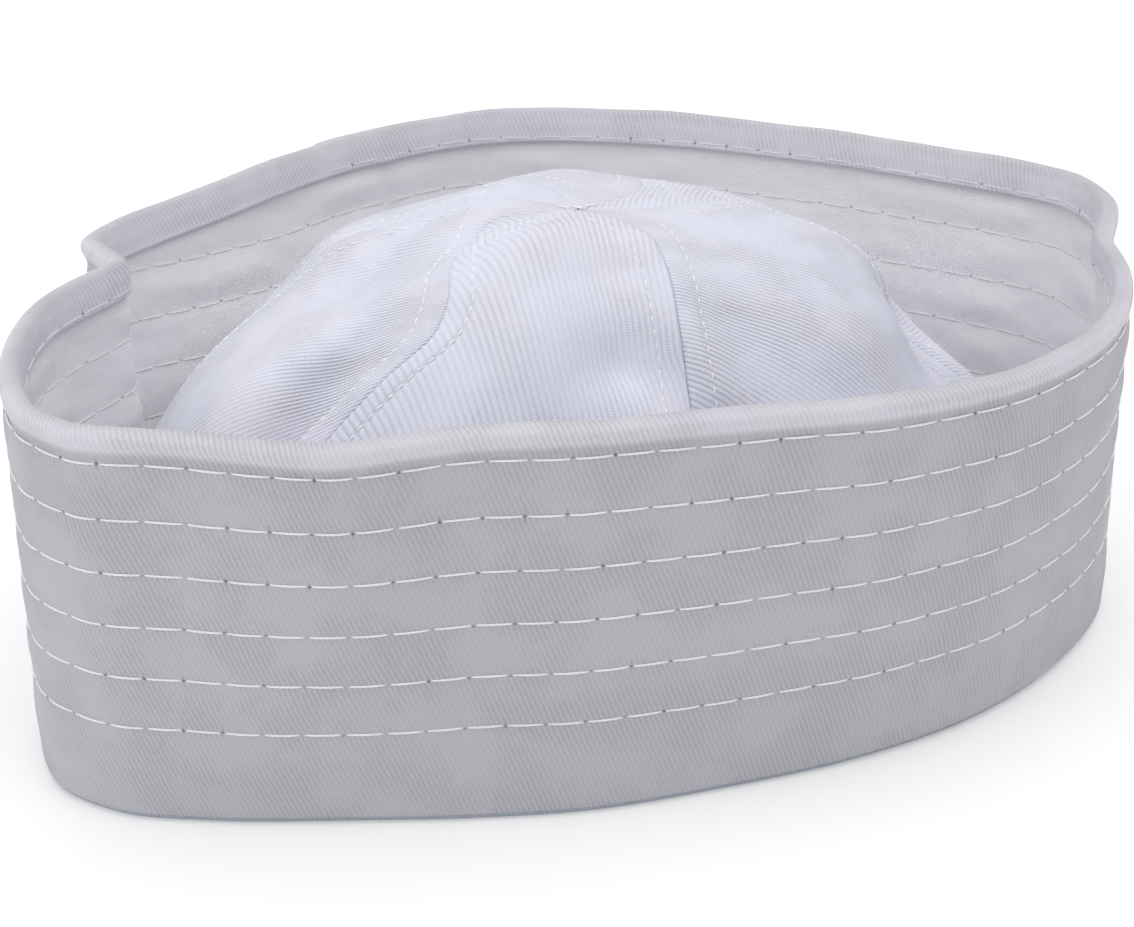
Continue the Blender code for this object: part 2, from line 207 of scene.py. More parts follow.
SECTIONS = np.array([row[1:] for row in OUTLINE])
FOOT_POINTS = SECTIONS[:, 0:2] * (FOOT_LENGTH / 2, FOOT_WIDTH / 2)
FOOT = closed_curve(FOOT_POINTS, SECTIONS[:, 4])
RIM = closed_curve(FOOT_POINTS + SECTIONS[:, 2:4] * BRIM_LEAN, SECTIONS[:, 5])
FOOT_OUT = outward(FOOT)
RIM_OUT = outward(RIM)
UPRIGHT = np.sqrt(1 - (np.linalg.norm(RIM - FOOT, axis=1) / BRIM_HEIGHT) ** 2)
RING = len(FOOT)

# The solids are centred on their box, so the outline moves by what brings its left and front ends to theirs
ends = np.concatenate([FOOT, FOOT + (RIM - FOOT) * (BRIM_HEIGHT - 0.002) / BRIM_HEIGHT])[:: SPAN_STEPS // 4]
CENTRE = np.array(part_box("brim_shell")[0])[:2] - ends.min(axis=0)
FOOT = FOOT + CENTRE
RIM = RIM + CENTRE


def ring_at(values, turn):
    """Values of the ring at fractional turns, straight between its points."""
    place = turn * RING
    first = np.floor(place).astype(int)
    share = (place - first)[..., None]
    return values[first % RING] * (1 - share) + values[(first + 1) % RING] * share


def brim_point(turn, depth, height):
    """Points of the brim at turns of the ring, depths inward from the outer face and heights up the slant."""
    share = (height / BRIM_HEIGHT)[..., None]
    foot = ring_at(FOOT, turn)
    middle = foot + (ring_at(RIM, turn) - foot) * share
    direction = ring_at(FOOT_OUT, turn) * (1 - share) + ring_at(RIM_OUT, turn) * share
    rise = height * ring_at(UPRIGHT[:, None], turn)[..., 0]
    return np.concatenate([middle - direction * depth[..., None], rise[..., None]], axis=-1)


# Length of cloth round the ring at mid height, clockwise from the spiral's start
MIDDLE = (FOOT + RIM) / 2
STRIDES = np.linalg.norm(np.roll(MIDDLE, -1, axis=0) - MIDDLE, axis=1)
ROUND = np.concatenate([[0], np.cumsum(STRIDES)])
GIRTH = ROUND[-1]
START = SPIRAL_START / len(OUTLINE)
START_ROUND = np.interp(START * RING, np.arange(RING + 1), ROUND)


def length_from_start(turn):
    """Cloth length from the spiral's start to a turn, going clockwise, from 0 to GIRTH."""
    return (START_ROUND - np.interp(turn % 1 * RING, np.arange(RING + 1), ROUND)) % GIRTH


def spiral_drop(turn):
    """Share of one line's drop that the spiral has made at a turn: 0 on most of the ring, then up to 1."""
    section = turn % 1 * len(OUTLINE)
    share = (SPIRAL_DROP_FROM - section) / (SPIRAL_DROP_FROM - SPIRAL_START)
    share = np.where((share >= 0) & (share <= 1), share, 0)
    return share * share * (3 - 2 * share)


def line_number(turn, height):
    """Number of the stitch line that passes at a turn and height, whole on a line and fractional between."""
    return (TOP_LINE - height) / LINE_DROP - spiral_drop(turn)


def waves_at(sewn, waves):
    """Sum of the sines of a wave table at a length sewn."""
    return sum(wave.share * np.sin(sewn / wave.length + wave.shift) for wave in waves)


def quilting(turn, height):
    """Swelling of the cloth between the lines, 0 on a line and 1 half way, with slow waves along it.

    The waves are three sines of the length sewn so far, which goes on from each line to the next.
    """
    number = line_number(turn, height)
    sewn = np.floor(number) * GIRTH + length_from_start(turn)
    low = np.clip((number - LINES + 1) / LAST_PUFF, 0, 1)
    swell = np.where(number < LINES - 1, np.sin(np.pi * number) ** 2, np.sin(np.pi * low) ** 2)
    swell = np.where(height > TOP_LINE, 0, swell)
    return swell, waves_at(sewn, QUILT_WAVES)


def seam_groove(turn):
    """Groove where the strip's ends meet: a bell curve of the sections from BRIM_SEAM."""
    return np.exp(-(((turn * len(OUTLINE) - BRIM_SEAM) / SEAM_WIDTH) ** 2))


def smooth_line(turns, steps):
    """Points through the rows of a section table by Catmull-Rom curves, in metres."""
    points = np.array(turns) / 1000
    padded = np.concatenate([[2 * points[0] - points[1]], points, [2 * points[-1] - points[-2]]])
    t = (np.arange(steps) / steps)[:, None, None]
    a, b, c, d = (padded[i : len(padded) - 3 + i] for i in range(4))
    spans = b + t * (c - a) / 2 + t**2 * (2 * a - 5 * b + 4 * c - d) / 2 + t**3 * (3 * b - a - 3 * c + d) / 2
    return np.concatenate([spans.transpose(1, 0, 2).reshape(-1, 2), points[-1:]])


def in_scene(name, data):
    """New object for a mesh, light or camera, linked to the scene."""
    thing = bpy.data.objects.new(name, data)
    bpy.context.scene.collection.objects.link(thing)
    return thing


def smooth_piece(name, mesh):
    """Object at the origin with a mesh, smooth shaded, that rides on the body."""
    mesh.polygons.foreach_set("use_smooth", np.ones(len(mesh.polygons), bool))
    mesh.update()
    piece = in_scene(name, mesh)
    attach(piece, "root")
    return piece


def cloth_piece(name, points, faces, corner_uv):
    """Object at the origin from points and quads, its faces turned outward, with its own texture lengths."""
    a, b, c, d = (points[faces[:, i]] for i in range(4))
    volume = np.einsum("ij,ij->", a, np.cross(b, c)) + np.einsum("ij,ij->", a, np.cross(c, d))
    if volume < 0:
        faces = faces[:, ::-1]
        corner_uv = corner_uv[:, ::-1]
    mesh = bpy.data.meshes.new(name)
    mesh.from_pydata(points.tolist(), [], faces.tolist())
    layer = mesh.uv_layers.new(name="cloth")
    layer.data.foreach_set("uv", corner_uv.reshape(-1).astype(np.float32))
    return smooth_piece(name, mesh)


def tube_piece(name, grid, along, across):
    """Closed tube round the cap from a grid of rings, each joined to the next and the last to the first.

    The texture lengths are along, one per ring point and the girth at the end, and across, one per ring.
    """
    rows, columns = grid.shape[:2]
    row = np.arange(rows)[:, None]
    column = np.arange(columns)[None, :]
    corners = [(row, column), (row, column + 1), (row + 1, column + 1), (row + 1, column)]
    faces = np.stack([np.ravel(r % rows * columns + c % columns) for r, c in corners], axis=1)
    uv = [np.stack(np.broadcast_arrays(along[c], across[r]), axis=-1).reshape(-1, 2) for r, c in corners]
    return cloth_piece(name, grid.reshape(-1, 3), faces, np.stack(uv, axis=1))


def make_brim_twill():
    """Section of the cloth carried round the ring, its outer face swelling between the stitch lines."""
    low = np.array(INSIDE[-1]) / 1000
    rise = np.arange(1, OUTER_STEPS) / OUTER_STEPS
    face = low + (np.array(ROLL[0]) / 1000 - low) * rise[:, None]
    face[:, 0] = 0.0
    inside = smooth_line(INSIDE, INSIDE_STEPS)
    first = len(inside)
    section = np.concatenate([inside, face, smooth_line(ROLL, ROLL_STEPS)])
    turn = np.arange(RING)[None, :] / RING
    height = np.broadcast_to(section[:, 1:], (len(section), RING))
    swell, waves = quilting(turn, height)
    number = line_number(turn, height)
    pulled = np.exp(-(((number - np.round(number)) / PULL_SPREAD) ** 2)) * (number < LINES - 0.5)
    groove = seam_groove(turn)
    relief = swell * (PUFF + PUFF_WAVES * waves) - PULL * pulled - SEAM_GROOVE * groove
    on_face = np.zeros((len(section), 1))
    on_face[first : first + OUTER_STEPS - 1] = 1
    depth = section[:, :1] - on_face * relief + SEAM_STEP * groove * (section[:, :1] > INSIDE_DEPTH)
    rolled = np.clip((height - TOP_LINE) / (BRIM_HEIGHT - TOP_LINE), 0, 1) ** 2
    height = height + rolled * waves_at(length_from_start(turn), ROLL_WAVES) * ROLL_WAVE
    grid = brim_point(np.broadcast_to(turn, height.shape), depth, height)
    steps = np.linalg.norm(np.diff(np.concatenate([section, section[:1]]), axis=0), axis=1)
    up = np.concatenate([[0], np.cumsum(steps)])
    return tube_piece("brim_twill", grid, ROUND, up - up[first - 1] + low[1])


def shader_node(tree, kind, inputs=None, **settings):
    """Node of a kind, its settings set, and its inputs set to numbers or joined to other nodes' outputs."""
    node = tree.nodes.new("ShaderNode" + kind)
    for name, value in settings.items():
        setattr(node, name, value)
    for name, value in (inputs or {}).items():
        if isinstance(value, bpy.types.NodeSocket):
            tree.links.new(value, node.inputs[name])
        else:
            node.inputs[name].default_value = value
    return node


def worked(tree, operation, a, b=0.0, c=0.0):
    """Output of a Math node on numbers or other nodes' outputs."""
    return shader_node(tree, "Math", {0: a, 1: b, 2: c}, operation=operation).outputs[0]


def times(tree, a, b):
    """Output of a times b."""
    return worked(tree, "MULTIPLY", a, b)


def times_plus(tree, a, b, c):
    """Output of a times b, plus c."""
    return worked(tree, "MULTIPLY_ADD", a, b, c)


def eased(tree, value, low, high, start=0.0, end=1.0):
    """Value taken smoothly from the range low to high into the range start to end."""
    ranged = shader_node(
        tree,
        "MapRange",
        {"Value": value, "From Min": low, "From Max": high, "To Min": start, "To Max": end},
        interpolation_type="SMOOTHSTEP",
    )
    return ranged.outputs["Result"]


def noise(tree, vector, scale, detail=2.0):
    """Noise in a pattern's own lengths, a scale of 100 for features of a centimetre."""
    inputs = {"Vector": vector, "Scale": scale, "Detail": detail}
    return shader_node(tree, "TexNoise", inputs).outputs["Fac"]


def plain_material(name, roughness, specular, more=None):
    """New material with its node tree and shader, and more of the shader's inputs set."""
    material = bpy.data.materials.new(name)
    material.use_nodes = True
    shader = material.node_tree.nodes["Principled BSDF"]
    inputs = {"Roughness": roughness, "Specular IOR Level": specular, **(more or {})}
    for socket, value in inputs.items():
        shader.inputs[socket].default_value = value
    return material, material.node_tree, shader


def show(tree, shader, colour, height, strength, distance):
    """Join a colour to the shader, and a height as bump of a strength and distance."""
    tree.links.new(colour, shader.inputs["Base Color"])
    bump = shader_node(tree, "Bump", {"Strength": strength, "Distance": distance, "Height": height})
    tree.links.new(bump.outputs["Normal"], shader.inputs["Normal"])


def cloth_material(name, roughness, sheen):
    """New cotton material, its tree and shader, and the piece's texture lengths x and y."""
    inputs = {"Sheen Weight": sheen, "Sheen Roughness": 0.5}
    material, tree, shader = plain_material(name, roughness, 0.25, inputs)
    vector = shader_node(tree, "UVMap", uv_map="cloth").outputs["UV"]
    split = shader_node(tree, "SeparateXYZ", {"Vector": vector})
    return material, tree, shader, vector, split.outputs["X"], split.outputs["Y"]


def twill_pattern(tree, vector, x, y, rib, lean):
    """Height of a twill, 0 to 1, and the strength of the painted shade in its valleys.

    Ribs are the rounded humps of a sine's absolute value across lines that lean from the upright, bent a
    little by noise. Finer slanted waves along each rib are its single yarns. Both fade in and out slowly.
    """
    sine = float(np.sin(np.radians(lean)))
    cosine = float(np.cos(np.radians(lean)))
    bend = times_plus(tree, noise(tree, vector, 45.0), RIB_BEND, -RIB_BEND / 2)
    across = times_plus(tree, y, sine, times_plus(tree, x, cosine, bend))
    along = times_plus(tree, y, cosine, times(tree, x, -sine))
    hump = worked(tree, "ABSOLUTE", worked(tree, "SINE", times(tree, across, np.pi / rib)))
    yarns = times(tree, along, 2 * np.pi / YARN)
    yarns = worked(tree, "SINE", times_plus(tree, across, YARN_SLANT * np.pi / rib, yarns))
    clear = eased(tree, noise(tree, vector, 70.0, 3.0), 0.36, 0.62, 0.45, 1.0)
    height = times_plus(tree, times(tree, yarns, hump), YARN_HEIGHT, hump)
    uneven = times_plus(tree, noise(tree, vector, 1500.0), 1.2, 0.4)
    valley = times(tree, worked(tree, "SUBTRACT", 1.0, height), times(tree, clear, uneven))
    return times(tree, height, clear), valley


def tinted(tree, colour, shade, tint=None, amount=0.0):
    """Colour times a shade, after an amount of a tint is mixed into it."""
    base = (*colour, 1.0)
    if tint:
        mix = shader_node(tree, "Mix", {0: amount, 6: base, 7: (*tint, 1.0)}, data_type="RGBA")
        base = mix.outputs[2]
    scaled = shader_node(tree, "VectorMath", {0: (1, 1, 1), "Scale": shade}, operation="SCALE")
    inputs = {0: 1.0, 6: base, 7: scaled.outputs[0]}
    return shader_node(tree, "Mix", inputs, data_type="RGBA", blend_type="MULTIPLY").outputs[2]


def needle_marks(tree, tick_strength):
    """Mask of the holes where the thread goes in and the short upright puckers at some, from the stitches'
    own map; the materials paint it darker as painted shade and sink it as bump.

    The map's x counts stitches from the spiral's start and its y is the line number, so a hole is where x
    and y are both whole. Each hole's strength is its own, from white noise.
    """
    stitches = shader_node(tree, "UVMap", uv_map="stitches").outputs["UV"]
    split = shader_node(tree, "SeparateXYZ", {"Vector": stitches})
    line = worked(tree, "ROUND", split.outputs["Y"])
    count = times_plus(tree, line, GIRTH / STITCH, split.outputs["X"])
    hole = worked(tree, "ROUND", count)
    aside = times(tree, worked(tree, "ABSOLUTE", worked(tree, "SUBTRACT", count, hole)), STITCH)
    above = worked(tree, "SUBTRACT", split.outputs["Y"], line)
    above = times(tree, worked(tree, "ABSOLUTE", above), LINE_DROP)
    cell = shader_node(tree, "CombineXYZ", {"X": hole, "Y": line})
    chance = shader_node(tree, "TexWhiteNoise", {"Vector": cell.outputs[0]}, noise_dimensions="2D")
    away = worked(tree, "SQRT", times_plus(tree, aside, aside, times(tree, above, above)))
    spot = eased(tree, away, *HOLE_RADIUS, 1.0, 0.0)
    spot = times(tree, spot, eased(tree, chance.outputs["Value"], 0.1, 0.9, 0.15, 1.0))
    thin = eased(tree, aside, *TICK_ASIDE, 1.0, 0.0)
    short = eased(tree, above, *TICK_ABOVE, 1.0, 0.0)
    tick = times(tree, times(tree, thin, short), tick_strength)
    tick = times(tree, tick, eased(tree, chance.outputs["Value"], 0.6, 0.95))
    marks = worked(tree, "MAXIMUM", spot, tick)
    sewn = worked(tree, "LESS_THAN", hole, GIRTH * SPIRAL_TURNS / STITCH)
    sewn = times(tree, sewn, worked(tree, "GREATER_THAN", line, -0.5))
    return times(tree, marks, sewn)


def brim_twill_material():
    """White twill in soft shade, its colour the crown's twill painted darker as shade: ribs and yarns with
    painted shade in their valleys, faint lilac and blue patches, needle holes and puckers painted darker as
    shade, and painted light on the roll, rim and hem.
    """
    material, tree, shader, vector, x, y = cloth_material("white_brim_twill", TWILL_ROUGHNESS, BRIM_SHEEN)
    height, valley = twill_pattern(tree, vector, x, y, RIB, RIB_LEAN)
    marks = needle_marks(tree, BRIM_TICKS)
    patches = eased(tree, noise(tree, vector, 32.0), 0.35, 0.68)
    # Painted shade: the valleys of the ribs are painted darker
    shade = times_plus(tree, valley, -0.17, 1.025)
    # Painted shade: the needle holes and puckers are painted darker
    shade = times_plus(tree, marks, -0.58, shade)
    shade = times_plus(tree, noise(tree, vector, 18.0), 0.05, shade)
    # Painted light: the roll's face and the hem are painted lighter and the rim's top darker, as the light
    # falls on them
    for painted_band in BRIM_PAINTED_LIGHT:
        edge = eased(tree, y, TOP_LINE + painted_band.start, TOP_LINE + painted_band.end, 1.0, painted_band.factor)
        shade = times(tree, shade, edge)
    colour = tinted(tree, SHADED_BRIM_TWILL_COLOUR, shade, SHADED_BRIM_TWILL_TINT, patches)
    show(tree, shader, colour, times_plus(tree, marks, -1.6, height), TWILL_BUMP, TWILL_RELIEF)
    return material


def add_stitch_map(piece, turns, heights):
    """Second map of a tube piece: stitches counted from the spiral's start, and the line number.

    Round each face the count goes on from its first corner, so that no face spans the jump from a full
    girth to nothing.
    """
    layer = piece.data.uv_layers.new(name="stitches")
    corners = np.empty(len(piece.data.loops), np.int32)
    piece.data.loops.foreach_get("vertex_index", corners)
    corners = corners.reshape(-1, 4)
    middle = np.angle(np.exp(2j * np.pi * turns[corners]).mean(axis=1)) / (2 * np.pi)
    before = (middle % 1 - START) % 1 > 0.5
    count = length_from_start(turns[corners])
    count = count - GIRTH * ((count > GIRTH * 0.75) & before[:, None])
    count = count + GIRTH * ((count < GIRTH * 0.25) & ~before[:, None])
    drop = spiral_drop(turns[corners])
    near_start = np.abs((middle - START + 0.5) % 1 - 0.5) < 1.5 / RING
    drop = np.where(near_start[:, None], np.where(before[:, None], 0.0, 1.0), drop)
    number = (TOP_LINE - heights[corners]) / LINE_DROP - drop
    layer.data.foreach_set("uv", np.stack([count / STITCH, number], axis=-1).reshape(-1).astype(np.float32))


brim_twill = make_brim_twill()
brim_points = np.array([vertex.co for vertex in brim_twill.data.vertices])
ring_turns = np.tile(np.arange(RING) / RING, len(brim_points) // RING)
add_stitch_map(brim_twill, ring_turns, brim_points[:, 2] / UPRIGHT[np.arange(len(brim_points)) % RING])
brim_twill.data.materials.append(brim_twill_material())
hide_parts("brim_shell")


# Brim lining. Plain light cotton against the twill's inside, its upper edge tucked behind the hem. It is
# warmer and greyer than the twill, and the quilting draws it into soft slanted puckers between the lines.

LINING_OUTER = 0.0015
LINING_INNER = 0.0025
LINING_FOOT = 0.0028
LINING_TOP = 0.0768
LINING_STEPS = 72
LINING_PUFF = 0.00030
LINING_COLOUR = (0.860, 0.840, 0.845)
LINING_TINT = (0.848, 0.838, 0.862)
LINING_YARN = 0.0006


def make_brim_lining():
    """Thin tube whose visible face swells inward between the lines, with slanted puckers at each.

    The hidden face's texture lies a metre below the visible one's.
    """
    inner = np.linspace(LINING_FOOT, LINING_TOP, LINING_STEPS)
    outer = inner[::-6]
    height = np.concatenate([inner, outer])[:, None] * np.ones((1, RING))
    turn = np.broadcast_to(np.arange(RING)[None, :] / RING, height.shape)
    swell, waves = quilting(turn, height)
    sewn = length_from_start(turn)
    slanted = np.sin((sewn + 0.9 * height) / 0.0019) * np.sin((sewn - 0.5 * height) / 0.0067 + 1.0)
    number = line_number(turn, height)
    pulled = np.exp(-((number - np.round(number)) / 0.10) ** 2)
    broad = np.sin((sewn + 1.3 * height) / 0.0094) * np.sin((sewn - 2.1 * height) / 0.0171 + 0.7)
    relief = swell * (LINING_PUFF + 0.00022 * waves + 0.00012 * slanted + 0.00040 * broad) - 0.00015 * pulled
    relief = relief - 0.0006 * seam_groove(turn)
    edges = np.clip((height - 0.004) / 0.012, 0, 1) * np.clip((0.0742 - height) / 0.003, 0, 1)
    depth = LINING_INNER + relief * edges
    depth[LINING_STEPS:] = LINING_OUTER
    grid = brim_point(turn, depth, height)
    up = np.concatenate([inner, outer - 1.0, [-1.0]])
    return tube_piece("brim_lining_cotton", grid, ROUND, up), turn, height


def lining_material():
    """Plain weave: two fine sets of yarns, slubs along them, soft patches, and the needle holes painted
    darker as shade.
    """
    material, tree, shader, vector, x, y = cloth_material("pale_lining_cotton", 0.9, 0.03)
    marks = needle_marks(tree, 0.0)
    weft = worked(tree, "SINE", times(tree, y, 2 * np.pi / LINING_YARN))
    warp = worked(tree, "SINE", times(tree, x, 2 * np.pi / LINING_YARN))
    weave = times(tree, weft, warp)
    stretched = shader_node(tree, "CombineXYZ", {"X": times(tree, x, 0.25), "Y": y})
    slubs = noise(tree, stretched.outputs[0], 900.0, 3.0)
    creases = noise(tree, vector, 110.0, 4.0)
    patches = eased(tree, noise(tree, vector, 30.0), 0.35, 0.7)
    shade = times_plus(tree, slubs, 0.05, times_plus(tree, patches, 0.04, 0.955))
    # Painted shade: the needle holes are painted darker
    shade = times_plus(tree, marks, -0.38, shade)
    colour = tinted(tree, LINING_COLOUR, shade, LINING_TINT, patches)
    height = times_plus(tree, weave, 0.12, times(tree, creases, 2.2))
    height = times_plus(tree, marks, -0.8, height)
    show(tree, shader, colour, height, 0.6, 0.0004)
    return material


brim_lining, lining_turns, lining_heights = make_brim_lining()
add_stitch_map(brim_lining, lining_turns.ravel(), lining_heights.ravel())
brim_lining.data.materials.append(lining_material())
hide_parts("brim_lining")


# Quilting thread. White cotton-wrapped thread sewn by machine through twill and lining, in one spiral of six
# turns that starts at the back left. Outside it shows as long stitches, inside as the finer bobbin thread.

THREAD = 0.00042
BOBBIN_THREAD = 0.00026
THREAD_SIDES = 5
STITCH_SHOWN = 0.94
BOBBIN_SHOWN = 0.9
THREAD_WAVES = (Wave(0.00012, 0.0123, 0.0), Wave(0.0001, 0.0047, 1.0))
THREAD_COLOUR = (0.95, 0.94, 0.96)
BOBBIN_COLOUR = (0.87, 0.85, 0.86)


def stitch_steps(count):
    """Shares of a stitch from its middle, -0.5 to 0.5, closer together at its ends, by a cosine."""
    return -np.cos(np.pi * np.arange(count) / (count - 1)) / 2


def stitch_piece(name, paths, normals, thickness):
    """One short tube per path, its ends drawn to a point and sunk, from paths of shape (stitch, step, 3).

    A tube's radius and its lift off the cloth follow the fourth root of a cosine of the share along it, so it
    lies flat in the middle and dives at both ends.
    """
    count, steps = paths.shape[:2]
    bulge = np.maximum(np.cos(np.pi * stitch_steps(steps)), 0) ** 0.25
    tangent = np.gradient(paths, axis=1)
    tangent = tangent / np.linalg.norm(tangent, axis=2)[..., None]
    side = np.cross(tangent, normals)
    side = side / np.linalg.norm(side, axis=2)[..., None]
    radius = thickness / 2 * (0.25 + 0.75 * bulge)[None, :, None]
    middle = paths + normals * (thickness * (bulge - 0.62))[None, :, None]
    ring = np.arange(THREAD_SIDES)
    angle = 2 * np.pi * ring / THREAD_SIDES
    around = side[:, :, None] * np.cos(angle)[:, None] + normals[:, :, None] * np.sin(angle)[:, None]
    points = (middle[:, :, None] + around * radius[..., None]).reshape(-1, 3)
    start = np.arange(count)[:, None, None] * steps * THREAD_SIDES
    base = start + np.arange(steps - 1)[None, :, None] * THREAD_SIDES
    here = base + ring
    after = base + (ring + 1) % THREAD_SIDES
    quads = np.stack([here, after, after + THREAD_SIDES, here + THREAD_SIDES], axis=-1)
    first = start[:, :, 0] + ring[::-1]
    last = start[:, :, 0] + (steps - 1) * THREAD_SIDES + ring
    mesh = bpy.data.meshes.new(name)
    mesh.from_pydata(points.tolist(), [], quads.reshape(-1, 4).tolist() + first.tolist() + last.tolist())
    return smooth_piece(name, mesh)


def thread_material(name, colour):
    """Thread of a colour, its ply showing as fine bands round it."""
    material, tree, shader = plain_material(name, 0.7, 0.35)
    place = shader_node(tree, "TexCoord").outputs["Object"]
    ply = noise(tree, place, 2600.0)
    shown = tinted(tree, colour, times_plus(tree, ply, 0.14, 0.93))
    show(tree, shader, shown, ply, 0.5, 0.0001)
    return material


def quilting_stitches(depth_of, shown, steps=8):
    """Paths and outward directions of the spiral's stitches, at a depth by turn and height."""
    sewn = np.arange(0.5, GIRTH * SPIRAL_TURNS / STITCH)[:, None] * STITCH
    sewn = sewn + (stitch_steps(steps) * shown * STITCH)[None, :]
    line = np.floor(sewn / GIRTH)
    here = (START_ROUND - sewn % GIRTH) % GIRTH
    turn = np.interp(here, ROUND, np.arange(RING + 1)) / RING
    height = TOP_LINE - LINE_DROP * (line + spiral_drop(turn)) + waves_at(sewn, THREAD_WAVES)
    share = (height / BRIM_HEIGHT)[..., None]
    level = ring_at(FOOT_OUT, turn) * (1 - share) + ring_at(RIM_OUT, turn) * share
    normal = np.concatenate([level, np.zeros_like(share)], axis=-1)
    normal = normal / np.linalg.norm(normal, axis=-1)[..., None]
    return brim_point(turn, depth_of(turn, height), height), normal


def outer_depth(turn, height):
    """Depth of the twill's face at a stitch: a little in, and more on the first line under the roll."""
    return np.where(height > TOP_LINE - 0.004, 0.00028, 0.00008) + 0 * turn


def inner_depth(turn, height):
    """Depth of the face that shows inside at a stitch: the hem on the first line, the lining below."""
    on_hem = height > 0.0749
    return np.where(on_hem, 0.00400, 0.00242) + 0 * turn


white_thread = thread_material("white_thread", THREAD_COLOUR)
paths, normals = quilting_stitches(outer_depth, STITCH_SHOWN)
brim_thread = stitch_piece("brim_thread_outside", paths, normals, THREAD)
brim_thread.data.materials.append(white_thread)
paths, normals = quilting_stitches(inner_depth, BOBBIN_SHOWN)
bobbin_thread = stitch_piece("brim_thread_inside", paths, -normals, BOBBIN_THREAD)
bobbin_thread.data.materials.append(thread_material("pale_bobbin_thread", BOBBIN_COLOUR))


# Crown. Six gores of the same twill, cut so that the ribs run another way on each, joined by seams that are
# pressed open and topstitched on both sides. The cloth slumps between the seams: a lobe at the lower left
# with a flat trough beside it, a valley down the front, and a skirt that spreads at the right.

CROWN_HEIGHT = 0.0935
BRIM_FOOT = 0.0013
CROWN_OUTER = 0.0031
APEX_ALONG = -0.05
APEX_ACROSS = -0.07
TIP_RADIUS = 0.0002
CREASE_FADE = 0.3
DENT_DEPTH = 0.0063
PRESSED_SEAM = 0.0008
SEAM_ALLOWANCE = 0.0070
TOPSTITCH_OFFSET = 0.0048
TOPSTITCH = 0.0026
CROWN_ROWS = 110
GORE_COLUMNS = 110
CROWN_RIB = 0.00100
CROWN_COLOUR = (0.690, 0.705, 0.800)
CROWN_TINT = (0.702, 0.697, 0.786)
CROWN_SHEEN = 0.04
CROWN_THREAD = 0.00028
TOPSTITCH_SHOWN = 0.74

# Fullness of the dome by turns along OUTLINE, as in the solids: 2 is an elliptic dome, more is boxier
Profile = namedtuple("Profile", "turn fullness")
CROWN_PROFILES = (
    Profile(0.000, 1.95), Profile(0.083, 2.05), Profile(0.167, 2.1), Profile(0.250, 2.05),
    Profile(0.333, 2.1), Profile(0.417, 2.15), Profile(0.500, 2.15), Profile(0.583, 2.1),
    Profile(0.667, 2.3), Profile(0.750, 2.3), Profile(0.833, 2.4), Profile(0.917, 2.3),
)

# Dents as in the solids: turns along OUTLINE, height share, spreads and depth share
Dent = namedtuple("Dent", "turn height turn_spread height_spread depth")
CROWN_DENTS = (
    Dent(0.48, 0.60, 0.09, 0.30, 3.6),
    Dent(0.40, 0.85, 0.05, 0.12, -0.8),
    Dent(0.05, 0.50, 0.03, 0.14, 1.0),
    Dent(0.24, 0.70, 0.03, 0.18, 0.5),
)

# Folds of the slumped cloth, as in the solids. Each is a straight line in the dome's flat map, where the apex
# is the middle and the foot is the circle of 1, from one climb and section to another. Its width is in that
# map, and its height is a share of FOLD_HEIGHT, below zero for a valley. They begin at a share of the climb.
FOLD_HEIGHT = 0.0030
FOLDS_FROM = 0.20
FOLDS_FULL = 0.35
Fold = namedtuple("Fold", "name climb section climb_to section_to width height")
CROWN_FOLDS = (
    Fold("lobe at the lower left", 0.50, 23.5, 0.55, 1.3, 0.13, 1.0),
    Fold("hollow beside the lobe", 0.60, 2.5, 0.40, 3.1, 0.065, -1.1),
    Fold("hollow above the lobe", 0.72, 0.0, 0.72, 1.9, 0.11, -0.7),
    Fold("shoulder at the back left", 0.66, 21.0, 0.68, 21.6, 0.08, 1.0),
    Fold("hump behind the apex", 0.83, 18.4, 0.85, 19.4, 0.09, 0.4),
    Fold("ridge under the first seam", 0.78, 3.6, 0.90, 4.5, 0.040, 0.22),
    Fold("ridge before the apex", 0.90, 4.5, 0.93, 8.0, 0.040, 0.20),
    Fold("valley down the front", 0.79, 6.4, 0.62, 6.5, 0.055, -0.7),
    Fold("foot of the valley", 0.62, 6.5, 0.48, 7.4, 0.060, -0.7),
    Fold("ridge along the second seam", 0.86, 7.8, 0.55, 7.4, 0.035, 0.45),
    Fold("dip beside the second seam", 0.66, 8.1, 0.52, 7.9, 0.045, -0.4),
    Fold("waist above the right skirt", 0.47, 11.8, 0.43, 13.4, 0.10, -1.9),
)

# One row per seam, front left first and counterclockwise: its section at the foot, and how many sections it
# strays at each tenth of the climb from 0.2 to the tip
Seam = namedtuple("Seam", "section at_2 at_3 at_4 at_5 at_6 at_7 at_8 at_9 at_tip")
SEAMS = (
    Seam(3, 0.0, 0.0, 0.0, 0.0, 0.25, 0.5, -0.5, -4.0, -4.3),
    Seam(7, 0.0, 0.0, 0.0, 0.1, 0.2, 0.4, 0.8, 1.4, 1.6),
    Seam(12, 0.0, 0.3, 0.3, 0.2, 1.1, 2.1, 2.1, 0.6, -2.0),
    Seam(16, 0.0, 0.0, 0.0, 0.0, 0.1, 0.2, 0.2, -0.6, -1.5),
    Seam(19, 0.0, 0.0, 0.0, 0.0, 0.0, 0.0, 0.0, -0.3, -0.8),
    Seam(23, 0.0, 0.0, -0.2, -0.5, -0.9, -1.4, -2.0, -2.8, -3.0),
)

# One row per gore, from its seam to the next: its ribs' lean from its middle line, and the width of a rib
Gore = namedtuple("Gore", "name rib_lean rib")
GORES = (
    Gore("front", 24.0, 0.00118),
    Gore("front_right", 24.0, 0.00098),
    Gore("back_right", 46.0, 0.00108),
    Gore("back", -70.0, 0.00100),
    Gore("back_left", 44.0, 0.00100),
    Gore("left", -34.0, 0.00098),
)

